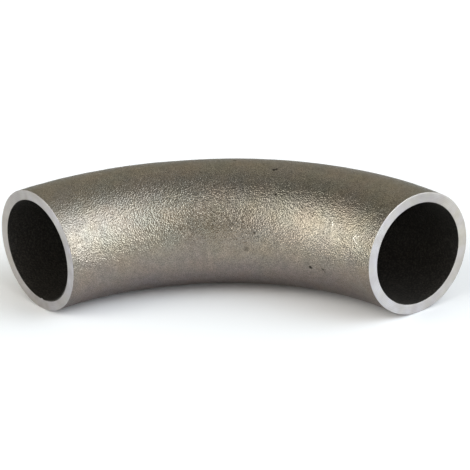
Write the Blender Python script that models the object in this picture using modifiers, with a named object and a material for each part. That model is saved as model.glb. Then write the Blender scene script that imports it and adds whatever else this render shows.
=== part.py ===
"""A seamless 90 degree butt-weld pipe elbow of steel, DN 20, with a bend radius of 2.5 times DN.

The elbow is one piece of metal. It lies flat, with its bend in a horizontal plane: one end faces -Y and
the other faces +X. The centre of the bend is the corner of the bounding box between the two ends. The
world origin is under the middle of the bounding box, at the height of the elbow's lowest point.
"""

import math

import bmesh
import bpy
from mathutils import Matrix, Vector

# Driving dimensions, in metres.
OUTER_DIAMETER = 0.0269
WALL = 0.0023
BEND_RADIUS = 0.0575  # from the centre of the bend to the middle of the tube
BEND_ANGLE = math.radians(90)
EDGE_BREAK = 0.0002  # the corner that is taken off each edge when an end is faced

# Facets round the tube and along the bend.
SIDES = 48
BEND_STEPS = 30
FACETED_ANGLE = math.radians(30)  # an edge is sharp where its faces meet at more than this

STEEL_COLOUR = (0.36, 0.34, 0.31, 1.0)
STEEL_ROUGHNESS = 0.45

# Worked out from the driving dimensions.
OUTER_RADIUS = OUTER_DIAMETER / 2
INNER_RADIUS = OUTER_RADIUS - WALL
HALF_SPAN = (BEND_RADIUS + OUTER_RADIUS) / 2  # half of the bounding box, along X and along Y
BEND_CENTRE = Vector((HALF_SPAN, -HALF_SPAN, OUTER_RADIUS))


def clear_scene():
    """Remove every object that the scene starts with."""
    for thing in list(bpy.data.objects):
        bpy.data.objects.remove(thing)


def steel():
    """Bare steel: grey, metallic and half rough."""
    material = bpy.data.materials.new("steel")
    material.use_nodes = True
    shader = material.node_tree.nodes["Principled BSDF"]
    shader.inputs["Base Color"].default_value = STEEL_COLOUR
    shader.inputs["Metallic"].default_value = 1.0
    shader.inputs["Roughness"].default_value = STEEL_ROUGHNESS
    return material


def elbow_mesh():
    """A flat ring, the section of the tube, spun through the bend about its centre."""
    section = Matrix.Translation(BEND_CENTRE - Vector((BEND_RADIUS, 0, 0)))
    section @= Matrix.Rotation(math.radians(90), 4, "X")
    elbow = bmesh.new()
    for radius in (OUTER_RADIUS, INNER_RADIUS):
        bmesh.ops.create_circle(elbow, segments=SIDES, radius=radius, matrix=section)
    bmesh.ops.bridge_loops(elbow, edges=elbow.edges[:])
    bmesh.ops.spin(
        elbow,
        geom=elbow.verts[:] + elbow.edges[:] + elbow.faces[:],
        cent=BEND_CENTRE,
        axis=(0, 0, 1),
        angle=-BEND_ANGLE,
        steps=BEND_STEPS,
    )
    bmesh.ops.recalc_face_normals(elbow, faces=elbow.faces[:])
    mesh = bpy.data.meshes.new("elbow_body")
    elbow.to_mesh(mesh)
    elbow.free()
    return mesh


def elbow_body():
    """The whole fitting, with the corners taken off the outer and inner edge of each end."""
    mesh = elbow_mesh()
    mesh.materials.append(steel())
    mesh.shade_smooth()
    mesh.set_sharp_from_angle(angle=FACETED_ANGLE)
    body = bpy.data.objects.new("elbow_body", mesh)
    corners = body.modifiers.new("edge_break", "BEVEL")
    corners.width = EDGE_BREAK
    corners.segments = 1
    corners.limit_method = "ANGLE"
    corners.angle_limit = FACETED_ANGLE
    return body


clear_scene()
collection = bpy.data.collections.new("pipe_elbow")
bpy.context.scene.collection.children.link(collection)
collection.objects.link(elbow_body())
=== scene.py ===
"""The looks of the pipe elbow: a tube of shot-blasted steel with machined ends and a dark, scaled bore.

The fine tube is one closed mesh, a grid that runs along the bend and round the wall. It takes the place of
the CAD body, on the same sizes, and adds what the faceted solid can't hold: the uneven, pitted skin that
blasting leaves, and the rounded edges of the machined ends. Its grain, its turning marks and the rough scale
in its bore are in the materials.
"""

import math

import bpy
import numpy as np
from mathutils import Matrix, Vector


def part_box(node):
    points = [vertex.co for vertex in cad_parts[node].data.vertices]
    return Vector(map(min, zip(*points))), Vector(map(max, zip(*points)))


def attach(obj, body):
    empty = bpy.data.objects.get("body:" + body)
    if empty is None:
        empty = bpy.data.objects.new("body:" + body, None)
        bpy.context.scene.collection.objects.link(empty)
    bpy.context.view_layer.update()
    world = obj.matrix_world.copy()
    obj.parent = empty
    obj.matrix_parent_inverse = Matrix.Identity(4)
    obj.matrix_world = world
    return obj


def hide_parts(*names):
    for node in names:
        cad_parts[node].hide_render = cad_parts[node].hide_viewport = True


MM = 0.001
TURN = 2 * math.pi
QUARTER = TURN / 4

# The tube, in metres. Its other sizes come from the frame.
WALL = 2.3 * MM
RELIEF = 0.03 * MM  # how far the outside is drawn in, so that its bumps stay inside the CAD body's box
OUTER_CORNER = 0.07 * MM  # radius of the rounded outside edge of each end
BORE_CORNER = 0.1 * MM  # and of its inside edge

# The grid of the fine mesh.
SIDES = 256  # round the tube
OUTER_STEPS = 290  # along the skin
BORE_STEPS = 48  # along the bore
FACE_STEPS = 5  # across the ring of each end
CORNER_STEPS = 3  # round each rounded edge
SHARP = math.radians(25)  # edges that turn by more than this are shaded as sharp
SKIN, RIGHT_FACE, FRONT_FACE, BORE = range(4)  # the material slots

# Relief of the blasted skin: (wavelength, height) of each layer of waves.
SKIN_WAVES = ((14 * MM, 0.014 * MM), (5 * MM, 0.006 * MM), (1.3 * MM, 0.003 * MM))
WAVES_IN_LAYER = 40
WAVE_STRETCH = (0.8, 1.3)  # the lengths of a layer's waves, as shares of its wavelength

# Dark pits: degrees along the bend from the front end, degrees round the tube (90 is the top, 180 the inside
# of the bend), radius and depth in millimetres.
PITS = (
    (54.5, 100, 0.34, 0.10),
    (55, 98.5, 0.30, 0.10),
    (57, 130, 0.30, 0.085),
    (52.5, 167, 0.26, 0.075),
    (53.5, 170.5, 0.20, 0.05),
    (50, 183, 0.60, 0.042),
    (68.5, 195, 0.38, 0.09),
    (72.5, 194.5, 0.30, 0.07),
    (73, 196.5, 0.24, 0.05),
    (45, 82.5, 0.34, 0.06),
    (38, 106.5, 0.26, 0.04),
    (64, 89.5, 0.28, 0.04),
)

# Faint marks, which are wide, shallow pits: the same two angles.
MARKS = (
    (4.5, 174),
    (9.5, 168),
    (15, 172.5),
    (19, 170.5),
    (36, 163),
    (46.5, 160),
    (59.5, 121.5),
    (64, 183),
    (71, 140.5),
    (86, 118.5),
    (86.5, 133),
)
MARK_RADIUS = 0.36 * MM
MARK_DEPTH = 0.027 * MM

# Stray pits on the underside and the outside of the bend, at random within these limits.
STRAY_PITS = 16
STRAY_ALONG = (2, 88)
STRAY_AROUND = (235, 400)
STRAY_RADIUS = (0.18 * MM, 0.36 * MM)
STRAY_STEEPNESS = (0.15, 0.3)  # depth as a share of the radius

# Bright scratches: the two angles at each of their ends.
SCRATCHES = (
    (74.8, 147.4, 75.1, 150.0),
    (82.7, 155.9, 83.3, 152.3),
    (83.6, 155.1, 84.3, 151.8),
    (82.9, 156.2, 84.3, 159.3),
    (16.2, 84.9, 16.6, 87.7),
)

# The inside edge of each end wanders a little, in waves that go this many times round the ring. It is also
# broken wider in places: degrees round the tube, degrees across, how far it moves out into the face.
EDGE_WANDER = 0.025 * MM
EDGE_WAVES = range(2, 12)
RIGHT_EDGE = ((230, 25, 0.06 * MM),)
FRONT_EDGE = ((225, 32, 0.22 * MM), (268, 1.5, -0.25 * MM))

# How noises, which mostly lie between 0.3 and 0.7, become a variation or patches.
NOISE_RANGE = (0.3, 0.7)
PATCH_RANGE = (0.35, 0.65)
ROUGHNESS_SPREAD = 0.04

# The blasted skin. Grain, speckle and stains make it lighter and darker, and grain and craters are its bump.
GRAIN = 0.25 * MM
SPECKLE = 0.15 * MM
STAINS = 1.3 * MM
CRATERS = 0.36 * MM
GRAIN_SHADE = 0.16
SPECKLE_SHADE = 0.25
STAIN_SHADE = 0.08
GRAIN_DEPTH = 0.075 * MM
CRATER_SHARE = 1.0  # height of the craters beside the grain's
STEEL_ROUGHNESS = 0.33
STEEL_ROUGHNESS_PATCHES = 1 * MM

# Its colours: each pair is mixed in patches, and so are the two pairs.
STEEL_OLIVE = ((0.236, 0.2275, 0.193, 1), (0.258, 0.235, 0.189, 1))
STEEL_ROSE = ((0.241, 0.2225, 0.197, 1), (0.261, 0.230, 0.192, 1))
STEEL_EDGE = (0.5, 0.5, 0.5, 1)  # at grazing angles
WARM_PATCHES = 5 * MM
ROSE_PATCHES = 7 * MM

# Painted reflection: the colour is multiplied by these at three heights above the floor.
UPPER_PAINTED_REFLECTION = (1, 1, 1, 1)
MIDDLE_PAINTED_REFLECTION = (1.06, 1.0, 0.97, 1)
LOWER_PAINTED_REFLECTION = (0.99, 0.92, 1.03, 1)
PAINTED_REFLECTION_HEIGHTS = (17 * MM, 12.5 * MM, 5 * MM)

# Its pits and scratches.
RAGGED = 0.25 * MM  # size and wavelength of the unevenness of their outlines
PIT_COLOUR = (0.02, 0.017, 0.013, 1)
PIT_ROUGHNESS = 0.8
PIT_EDGE = (1.3, 0.7)  # where its colour begins and where it is full, in radii
FULL_DEPTH = 0.1 * MM  # a pit this deep has the whole of that colour
SCRATCH_COLOUR = (0.57, 0.55, 0.5, 1)
SCRATCH_EDGE = (0.13 * MM, 0.065 * MM)  # where its colour begins and where it is full, from its middle

# The machined rings: turning marks, and colours that change across the bend and in patches.
FACING_PITCH = 0.35 * MM
FACING_DEPTH = 0.006 * MM
FACING_SHADE = 0.05
FACING_UNEVEN = 3.0  # how far the turning marks stray from circles
FACING_UNEVEN_SCALE = 0.15
WAVE_TEXTURE_RADIANS = 20  # how far the wave texture turns over one unit, at a scale of 1
FACE_ROUGHNESS = 0.34
FACE_ROUGHNESS_PATCHES = 1.5 * MM
FACE_INSIDE = (1.07, 1.08, 1.12, 1)  # towards the inside of the bend
FACE_OUTSIDE = (0.97, 0.94, 0.89, 1)
FACE_LILAC = (0.98, 0.95, 1.03, 1)
FACE_STRAW = (1.02, 1.0, 0.93, 1)
FACE_TINT_SHARE = 0.5  # of lilac and straw
FACE_TINT_PATCHES = 3.2 * MM
FACE_DULL_PATCHES = 2.5 * MM

# Each ring's colours, and where it is darkest, in degrees round the tube.
RIGHT_RING = {"pale": (0.52, 0.515, 0.51, 1), "dull": (0.46, 0.445, 0.43, 1), "darkest": 80}
# painted light and shade: both rings are one machined steel, the front ring given darker colours to look
# less lit
FRONT_RING = {"pale": (0.43, 0.42, 0.41, 1), "dull": (0.36, 0.345, 0.33, 1), "darkest": 62}
DARKEST_SHADE = 0.78
DARKEST_REACH = 9.5 * MM

# The scale in the bore.
BORE_DARK = (0.010, 0.009, 0.0075, 1)
BORE_PALE = (0.040, 0.036, 0.030, 1)
BORE_SPECKLE = 0.4 * MM
BORE_SPECKLE_RANGE = (0.45, 0.7)  # of its noise, from dark to pale
BORE_BUMPS = 0.45 * MM
BORE_DEPTH = 0.14 * MM
BORE_DETAIL = 3.0
BORE_ROUGHNESS = 0.62
BORE_GLOSS = 0.35

# Camera: it looks down at the inside of the bend, from a little to the right of its middle.
CAMERA_AZIMUTH = 53.59  # degrees from -Y towards +X
CAMERA_ELEVATION = 23.33
CAMERA_ROLL = -3.0
CAMERA_DISTANCE = 709.1 * MM
CAMERA_AIM = (0.84 * MM, 0.18 * MM)  # close to the middle of the bounding box, at the tube's mid-height
CAMERA_LENS = 254.1  # in millimetres, as its sensor is
CAMERA_SENSOR = 36
CAMERA_CLIP = (0.01, 10)  # in metres

# Soft lights, all far away: degrees to the right of the camera, degrees up, degrees across, brightness in
# red, green and blue.
SOFT_LIGHTS = {
    "right_fill": (75, 25, 26, (2.75, 2.8, 2.85)),
    "right_low": (60, 4, 11, (6.1, 6.6, 6.7)),
    "right_key": (30, 42, 11, (2.45, 2.25, 2.1)),
    "right_top": (60, 42, 11, (2.0, 2.4, 2.7)),
    "left_low": (285, 7, 17, (5.5, 5.33, 5.0)),
    "left_key": (300, 42, 11, (4.15, 4.05, 3.75)),
    "back": (180, 25, 26, (0.93, 0.88, 0.75)),
    "front": (0, 18, 20, (0.17, 0.09, 0.0)),
}
HORIZON = (0.022, 0.035)  # the backdrop is white up to the first height, as a sine, and fades by the second

FLOOR_HALF = 3.0  # half of its side, in metres
FLOOR_COLOUR = (0.90, 0.93, 0.965, 1)
FLOOR_ROUGHNESS = 0.9

rng = np.random.default_rng(26)


# ---------------------------------------------------------------- shape


class Bend:
    """The sizes of the bent tube, measured off the CAD body's box."""

    def __init__(self, low, high):
        half = (high.z - low.z) / 2
        self.outer = half - RELIEF
        self.inner = half - WALL
        self.radius = (high.x - low.x) - half
        self.centre = np.array((high.x, low.y, (low.z + high.z) / 2))

    def place(self, along, past, radius, around):
        """Points at the angle along from the front end and a distance past it.

        In that section they are at a radius from the tube's middle, at the angle around.
        """
        out = self.radius + radius * np.cos(around)
        x = self.centre[0] - out * np.cos(along) + past * np.sin(along)
        y = self.centre[1] + out * np.sin(along) + past * np.cos(along)
        z = self.centre[2] + radius * np.sin(around)
        return np.stack(np.broadcast_arrays(x, y, z), axis=-1)

    def on_skin(self, along, around):
        """A point of the outside, from two angles in degrees."""
        return self.place(math.radians(along), 0, self.outer, math.radians(around))


def end_profile(bend):
    """One end of the wall, from its outside to its bore.

    Each point is (distance past the wall's end, radius, how much it follows the wandering inside edge).
    """
    outside, inside = [], []
    for turn in np.linspace(0, QUARTER, CORNER_STEPS + 1):
        out, up = math.cos(turn), math.sin(turn) - 1
        outside.append((OUTER_CORNER * up, bend.outer + OUTER_CORNER * (out - 1), 0.0))
        inside.append((BORE_CORNER * up, bend.inner + BORE_CORNER * (1 - out), 1 + up))
    flat = []
    for share in np.linspace(0, 1, FACE_STEPS + 1)[1:-1]:
        flat.append((0.0, outside[-1][1] + share * (inside[-1][1] - outside[-1][1]), share))
    return outside + flat + inside[::-1]


def end_strips(face):
    """The materials of the strips between the points of an end's profile, with face on its ring."""
    return [SKIN] + [face] * (CORNER_STEPS - 1 + FACE_STEPS) + [BORE] * CORNER_STEPS


def wall_rings(bend):
    """The rings of the skin, once round the wall, and the material of the strip after each.

    Each ring is (angle along, distance past, radius, how much it follows the edge).
    """
    profile = end_profile(bend)
    outer = [(turn, 0.0, bend.outer, 0.0) for turn in np.linspace(0, QUARTER, OUTER_STEPS + 1)[1:-1]]
    right = [(QUARTER, past, radius, follows) for past, radius, follows in profile]
    bore = [(turn, 0.0, bend.inner, 0.0) for turn in np.linspace(QUARTER, 0, BORE_STEPS + 1)[1:-1]]
    front = [(0.0, -past, radius, follows) for past, radius, follows in reversed(profile)]
    materials = [SKIN] * len(outer) + end_strips(RIGHT_FACE) + [BORE] * (len(bore) + 1)
    materials += end_strips(FRONT_FACE)[::-1] + [SKIN]
    return np.array(outer + right + bore + front), np.array(materials)


def inside_edge(places, around):
    """How far the inside edge of an end stands out from its true circle."""
    shift = np.zeros_like(around)
    for times in EDGE_WAVES:
        size = EDGE_WANDER * rng.normal() * EDGE_WAVES[0] / times
        shift += size * np.cos(times * around + rng.uniform(0, TURN))
    for middle, across, height in places:
        away = (around - math.radians(middle) + TURN / 2) % TURN - TURN / 2
        shift += height * np.exp(-((away / math.radians(across)) ** 2))
    return shift


def waves(points, wavelength):
    """A smooth random field over points, with a mean of 0 and a spread of 1."""
    heading = rng.normal(size=(WAVES_IN_LAYER, 3))
    heading /= np.linalg.norm(heading, axis=1, keepdims=True)
    length = wavelength * rng.uniform(*WAVE_STRETCH, size=(WAVES_IN_LAYER, 1))
    phase = rng.uniform(0, TURN, size=WAVES_IN_LAYER)
    turned = points @ (heading * TURN / length).T + phase
    return np.cos(turned).sum(axis=-1) * math.sqrt(2 / WAVES_IN_LAYER)


def pit_list(bend):
    """The middle, radius and depth of the dark pits, then of the faint marks and the stray pits."""
    pits = [(along, around, radius * MM, depth * MM) for along, around, radius, depth in PITS]
    pits += [(along, around, MARK_RADIUS, MARK_DEPTH) for along, around in MARKS]
    for _ in range(STRAY_PITS):
        radius = rng.uniform(*STRAY_RADIUS)
        along = rng.uniform(*STRAY_ALONG)
        around = rng.uniform(*STRAY_AROUND)
        depth = radius * rng.uniform(*STRAY_STEEPNESS)
        pits.append((along, around, radius, depth))
    return [(bend.on_skin(along, around), radius, depth) for along, around, radius, depth in pits]


def skin_height(points, pits):
    """How far points of the outside stand out from a smooth tube."""
    height = np.zeros(len(points))
    for wavelength, size in SKIN_WAVES:
        height += size * waves(points, wavelength)
    height = np.minimum(height, RELIEF)
    for middle, radius, depth in pits:
        away = np.linalg.norm(points - middle, axis=-1) / radius
        height -= depth * np.exp(-(away**2))
    return height


def grid_quads(rings):
    """The faces of a grid that closes both round the tube and from its last ring to its first."""
    ring = np.arange(rings)[:, None] * SIDES
    side = np.arange(SIDES)[None, :]
    next_ring = np.roll(ring, -1)
    next_side = np.roll(side, -1)
    corners = (ring + side, ring + next_side, next_ring + next_side, next_ring + side)
    return np.stack(corners, axis=-1).reshape(-1, 4)


def build_elbow(bend, pits):
    """The whole skin, with its relief, as one object."""
    rings, materials = wall_rings(bend)
    around = np.linspace(0, TURN, SIDES, endpoint=False)[None, :]
    along, past, radius, follows = (rings[:, column][:, None] for column in range(4))
    right_edge = inside_edge(RIGHT_EDGE, around)
    front_edge = inside_edge(FRONT_EDGE, around)
    edge = np.where(along > QUARTER / 2, right_edge, front_edge)
    points = bend.place(along, past, radius + follows * edge, around)
    normals = bend.place(along, 0, 1.0, around) - bend.place(along, 0, 0.0, around)
    outside = radius[:, 0] == bend.outer
    height = skin_height(points[outside].reshape(-1, 3), pits)
    points[outside] += normals[outside] * height.reshape(-1, SIDES, 1)

    mesh = bpy.data.meshes.new("elbow")
    mesh.from_pydata(points.reshape(-1, 3), [], grid_quads(len(rings)))
    mesh.polygons.foreach_set("material_index", np.repeat(materials, SIDES).astype(np.int32))
    mesh.shade_smooth()
    mesh.set_sharp_from_angle(angle=SHARP)
    mesh.update()
    elbow = bpy.data.objects.new("elbow", mesh)
    bpy.context.scene.collection.objects.link(elbow)
    return elbow


# ---------------------------------------------------------------- materials


class Tree:
    """A node tree, with short ways to add and join nodes."""

    def __init__(self, tree):
        self.tree = tree

    def give(self, socket, value):
        """Join a socket to another node's output, or set it to a plain value."""
        if isinstance(value, bpy.types.NodeSocket):
            self.tree.links.new(value, socket)
        else:
            socket.default_value = value

    def node(self, kind, settings=None, **inputs):
        """A new node, with the values of its inputs by their names."""
        made = self.tree.nodes.new(kind)
        for name, value in (settings or {}).items():
            setattr(made, name, value)
        for name, value in inputs.items():
            self.give(made.inputs[name.replace("_", " ")], value)
        return made

    def arithmetic(self, kind, operation, values):
        """A new node that does arithmetic, with the values of its inputs in their order."""
        made = self.node(kind, {"operation": operation})
        for socket, value in zip(made.inputs, values):
            self.give(socket, value)
        return made

    def maths(self, operation, *values):
        return self.arithmetic("ShaderNodeMath", operation, values).outputs[0]

    def vector(self, operation, *values):
        """Vector arithmetic whose result is a vector."""
        return self.arithmetic("ShaderNodeVectorMath", operation, values).outputs["Vector"]

    def measure(self, operation, *values):
        """Vector arithmetic whose result is a number."""
        return self.arithmetic("ShaderNodeVectorMath", operation, values).outputs["Value"]

    def scaled(self, vector, by):
        made = self.node("ShaderNodeVectorMath", {"operation": "SCALE"}, Scale=by)
        self.give(made.inputs[0], vector)
        return made.outputs["Vector"]

    def ramp(self, value, low, high, to_low=0.0, to_high=1.0):
        """value, from low to high, made to run from to_low to to_high."""
        made = self.node(
            "ShaderNodeMapRange",
            Value=value,
            From_Min=low,
            From_Max=high,
            To_Min=to_low,
            To_Max=to_high,
        )
        return made.outputs["Result"]

    def height_of(self, vector):
        return self.node("ShaderNodeSeparateXYZ", Vector=vector).outputs["Z"]


# The Mix node's sockets for colours.
MIX_FIRST, MIX_SECOND, MIX_RESULT = 6, 7, 2


class Paint(Tree):
    """A material and its nodes."""

    def __init__(self, name):
        self.material = bpy.data.materials.new(name)
        self.material.use_nodes = True
        super().__init__(self.material.node_tree)
        self.shader = self.tree.nodes["Principled BSDF"]
        self.place = self.node("ShaderNodeTexCoord").outputs["Object"]

    def apply(self, **inputs):
        """The material, with the values of its shader's inputs by their names."""
        for name, value in inputs.items():
            self.give(self.shader.inputs[name.replace("_", " ")], value)
        return self.material

    def noise(self, wavelength, detail=2.0, output="Fac"):
        made = self.node("ShaderNodeTexNoise", Vector=self.place, Scale=1 / wavelength, Detail=detail)
        return made.outputs[output]

    def varied(self, noise, spread, middle=1.0):
        """A noise made to run from spread below middle to spread above it."""
        return self.ramp(noise, *NOISE_RANGE, middle - spread, middle + spread)

    def patches(self, wavelength):
        """0 in some patches and 1 in the others, with soft borders."""
        return self.ramp(self.noise(wavelength), *PATCH_RANGE)

    def mix(self, share, first, second, blend="MIX"):
        """The colour first, with a share of second mixed into it."""
        made = self.node("ShaderNodeMix", {"data_type": "RGBA", "blend_type": blend}, Factor=share)
        self.give(made.inputs[MIX_FIRST], first)
        self.give(made.inputs[MIX_SECOND], second)
        return made.outputs[MIX_RESULT]

    def ragged(self, size):
        """The place, moved about by up to half of size, so that marks get uneven outlines."""
        centred = self.vector("SUBTRACT", self.noise(size, output="Color"), (0.5, 0.5, 0.5))
        return self.vector("MULTIPLY_ADD", centred, (size, size, size), self.place)

    def from_line(self, place, start, end):
        """How far a place is from the line between two points."""
        line = end - start
        offset = self.vector("SUBTRACT", place, start)
        share = self.measure("DOT_PRODUCT", offset, line / (line @ line))
        return self.measure("DISTANCE", offset, self.scaled(line, self.ramp(share, 0, 1)))

    def bump(self, height, distance):
        return self.node("ShaderNodeBump", Height=height, Distance=distance).outputs["Normal"]


def steel_colour(paint, grain):
    """The colour of the blasted skin, without its pits and scratches, and with painted reflection colours by
    height.
    """
    warm = paint.patches(WARM_PATCHES)
    rose = paint.patches(ROSE_PATCHES)
    colour = paint.mix(rose, paint.mix(warm, *STEEL_OLIVE), paint.mix(warm, *STEEL_ROSE))

    # painted reflection colours by height: warm around the middle, lilac low down, in place of reflected
    # light
    upper, middle, lower = PAINTED_REFLECTION_HEIGHTS
    height = paint.height_of(paint.place)
    tint = paint.mix(paint.ramp(height, upper, middle), UPPER_PAINTED_REFLECTION, MIDDLE_PAINTED_REFLECTION)
    tint = paint.mix(paint.ramp(height, middle, lower), tint, LOWER_PAINTED_REFLECTION)
    colour = paint.mix(1.0, colour, tint, "MULTIPLY")

    speckle = paint.varied(paint.noise(SPECKLE, 0), SPECKLE_SHADE)
    stains = paint.varied(paint.noise(STAINS, 1), STAIN_SHADE)
    shade = paint.maths("MULTIPLY", paint.varied(grain, GRAIN_SHADE), speckle)
    return paint.scaled(colour, paint.maths("MULTIPLY", shade, stains))


def blasted_steel(bend, pits):
    """The skin: steel with a fine grain of craters, dark pits and a few bright scratches."""
    paint = Paint("blasted_steel")
    grain = paint.noise(GRAIN, 0)
    craters = paint.node("ShaderNodeTexVoronoi", Vector=paint.place, Scale=1 / CRATERS).outputs["Distance"]

    place = paint.ragged(RAGGED)
    bright = dark = 0.0
    for along, around, end_along, end_around in SCRATCHES:
        start, end = bend.on_skin(along, around), bend.on_skin(end_along, end_around)
        scratch = paint.ramp(paint.from_line(place, start, end), *SCRATCH_EDGE)
        bright = paint.maths("MAXIMUM", bright, scratch)
    for middle, radius, depth in pits:
        away = paint.measure("DISTANCE", place, middle)
        begins, full = PIT_EDGE
        pit = paint.ramp(away, begins * radius, full * radius, 0.0, min(1.0, depth / FULL_DEPTH))
        dark = paint.maths("MAXIMUM", dark, pit)
    colour = paint.mix(bright, steel_colour(paint, grain), SCRATCH_COLOUR)
    rough = paint.varied(paint.noise(STEEL_ROUGHNESS_PATCHES), ROUGHNESS_SPREAD, STEEL_ROUGHNESS)
    height = paint.maths("MULTIPLY_ADD", craters, CRATER_SHARE, grain)
    return paint.apply(
        Base_Color=paint.mix(dark, colour, PIT_COLOUR),
        Roughness=paint.maths("MAXIMUM", rough, paint.maths("MULTIPLY", dark, PIT_ROUGHNESS)),
        Normal=paint.bump(height, GRAIN_DEPTH),
        Metallic=1.0,
        Specular_Tint=STEEL_EDGE,
    )


def machined_steel(name, bend, along, direction, pale, dull, darkest):
    """The ring at one end, cooler and paler towards the inside of the bend, with fine turning marks.

    direction is the axis that the turning marks go round.
    """
    paint = Paint(name)
    marks = paint.node(
        "ShaderNodeTexWave",
        {"wave_type": "RINGS", "rings_direction": direction},
        Vector=paint.vector("SUBTRACT", paint.place, bend.place(along, 0, 0, 0)),
        Scale=TURN / (WAVE_TEXTURE_RADIANS * FACING_PITCH),
        Distortion=FACING_UNEVEN,
        Detail_Scale=FACING_UNEVEN_SCALE,
    ).outputs["Fac"]

    colour = paint.mix(paint.patches(FACE_DULL_PATCHES), dull, pale)
    tint = paint.mix(paint.patches(FACE_TINT_PATCHES), FACE_LILAC, FACE_STRAW)
    colour = paint.mix(FACE_TINT_SHARE, colour, tint, "MULTIPLY")

    level = (1, 1, 0)
    from_axis = paint.vector("MULTIPLY_ADD", paint.place, level, -bend.centre * level)
    out = paint.measure("LENGTH", from_axis)
    across = paint.ramp(out, bend.radius - bend.outer, bend.radius + bend.outer)
    colour = paint.mix(1.0, colour, paint.mix(across, FACE_INSIDE, FACE_OUTSIDE), "MULTIPLY")
    colour = paint.scaled(colour, paint.ramp(marks, 0, 1, 1 - FACING_SHADE, 1 + FACING_SHADE))

    # darker around a point near the top of the ring
    darkest_place = bend.place(along, 0, (bend.inner + bend.outer) / 2, math.radians(darkest))
    away = paint.measure("DISTANCE", paint.place, darkest_place)
    colour = paint.scaled(colour, paint.ramp(away, 0, DARKEST_REACH, DARKEST_SHADE, 1))
    return paint.apply(
        Base_Color=colour,
        Roughness=paint.varied(paint.noise(FACE_ROUGHNESS_PATCHES), ROUGHNESS_SPREAD, FACE_ROUGHNESS),
        Normal=paint.bump(marks, FACING_DEPTH),
        Metallic=1.0,
    )


def scaled_bore():
    """The inside: dark, rough scale with a fine speckle."""
    paint = Paint("bore_scale")
    speckle = paint.ramp(paint.noise(BORE_SPECKLE, BORE_DETAIL), *BORE_SPECKLE_RANGE)
    return paint.apply(
        Base_Color=paint.mix(speckle, BORE_DARK, BORE_PALE),
        Normal=paint.bump(paint.noise(BORE_BUMPS, BORE_DETAIL), BORE_DEPTH),
        Roughness=BORE_ROUGHNESS,
        Specular_IOR_Level=BORE_GLOSS,
    )


# ---------------------------------------------------------------- studio


def direction_to(azimuth, elevation):
    """The direction from the elbow towards a place azimuth degrees from -Y, and elevation degrees up."""
    turn, lift = math.radians(azimuth), math.radians(elevation)
    return Vector((math.sin(turn) * math.cos(lift), -math.cos(turn) * math.cos(lift), math.sin(lift)))


def build_camera(bend):
    data = bpy.data.cameras.new("camera")
    data.sensor_width = CAMERA_SENSOR
    data.lens = CAMERA_LENS
    data.clip_start, data.clip_end = CAMERA_CLIP
    camera = bpy.data.objects.new("camera", data)
    aim = Vector((*CAMERA_AIM, bend.centre[2]))
    back = direction_to(CAMERA_AZIMUTH, CAMERA_ELEVATION)
    facing = (-back).to_track_quat("-Z", "Y").to_matrix().to_4x4()
    roll = Matrix.Rotation(math.radians(CAMERA_ROLL), 4, "Z")
    camera.matrix_world = Matrix.Translation(aim + back * CAMERA_DISTANCE) @ facing @ roll
    bpy.context.scene.collection.objects.link(camera)
    bpy.context.scene.camera = camera


def build_world():
    """Soft round lights on a dark room, above a pale horizon that carries on from the floor."""
    world = bpy.data.worlds.new("studio")
    world.use_nodes = True
    sky = Tree(world.node_tree)
    towards = sky.node("ShaderNodeTexCoord").outputs["Generated"]
    white_below, dark_above = HORIZON
    total = sky.ramp(sky.maths("ABSOLUTE", sky.height_of(towards)), dark_above, white_below)
    for right, up, across, brightness in SOFT_LIGHTS.values():
        tightness = 1 / math.radians(across) ** 2
        facing_it = sky.measure("DOT_PRODUCT", towards, direction_to(CAMERA_AZIMUTH + right, up))
        power = sky.maths("MULTIPLY_ADD", facing_it, tightness, -tightness)
        total = sky.vector("ADD", total, sky.scaled(brightness, sky.maths("EXPONENT", power)))
    sky.give(sky.tree.nodes["Background"].inputs["Color"], total)
    bpy.context.scene.world = world


def build_floor():
    signs = ((-1, -1), (1, -1), (1, 1), (-1, 1))
    mesh = bpy.data.meshes.new("floor")
    mesh.from_pydata([(x * FLOOR_HALF, y * FLOOR_HALF, 0) for x, y in signs], [], [(0, 1, 2, 3)])
    paper = Paint("floor_paper")
    mesh.materials.append(
        paper.apply(Base_Color=FLOOR_COLOUR, Roughness=FLOOR_ROUGHNESS, Specular_IOR_Level=0.0)
    )
    floor = bpy.data.objects.new("floor", mesh)
    bpy.context.scene.collection.objects.link(floor)


# ---------------------------------------------------------------- the scene

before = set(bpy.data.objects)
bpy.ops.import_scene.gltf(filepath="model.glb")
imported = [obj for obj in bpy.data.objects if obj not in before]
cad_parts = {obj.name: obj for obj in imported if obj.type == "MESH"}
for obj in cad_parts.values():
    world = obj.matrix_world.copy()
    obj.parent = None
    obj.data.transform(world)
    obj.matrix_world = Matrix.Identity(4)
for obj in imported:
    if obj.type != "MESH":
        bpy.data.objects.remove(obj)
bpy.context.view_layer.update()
bend = Bend(*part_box("elbow_body"))
build_camera(bend)
build_world()
build_floor()
bpy.context.scene.view_settings.view_transform = "Standard"

pits = pit_list(bend)
elbow = build_elbow(bend, pits)
materials = (
    blasted_steel(bend, pits),
    machined_steel("machined_right", bend, QUARTER, "X", **RIGHT_RING),
    machined_steel("machined_front", bend, 0, "Y", **FRONT_RING),
    scaled_bore(),
)
for material in materials:
    elbow.data.materials.append(material)
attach(elbow, "root")
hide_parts("elbow_body")
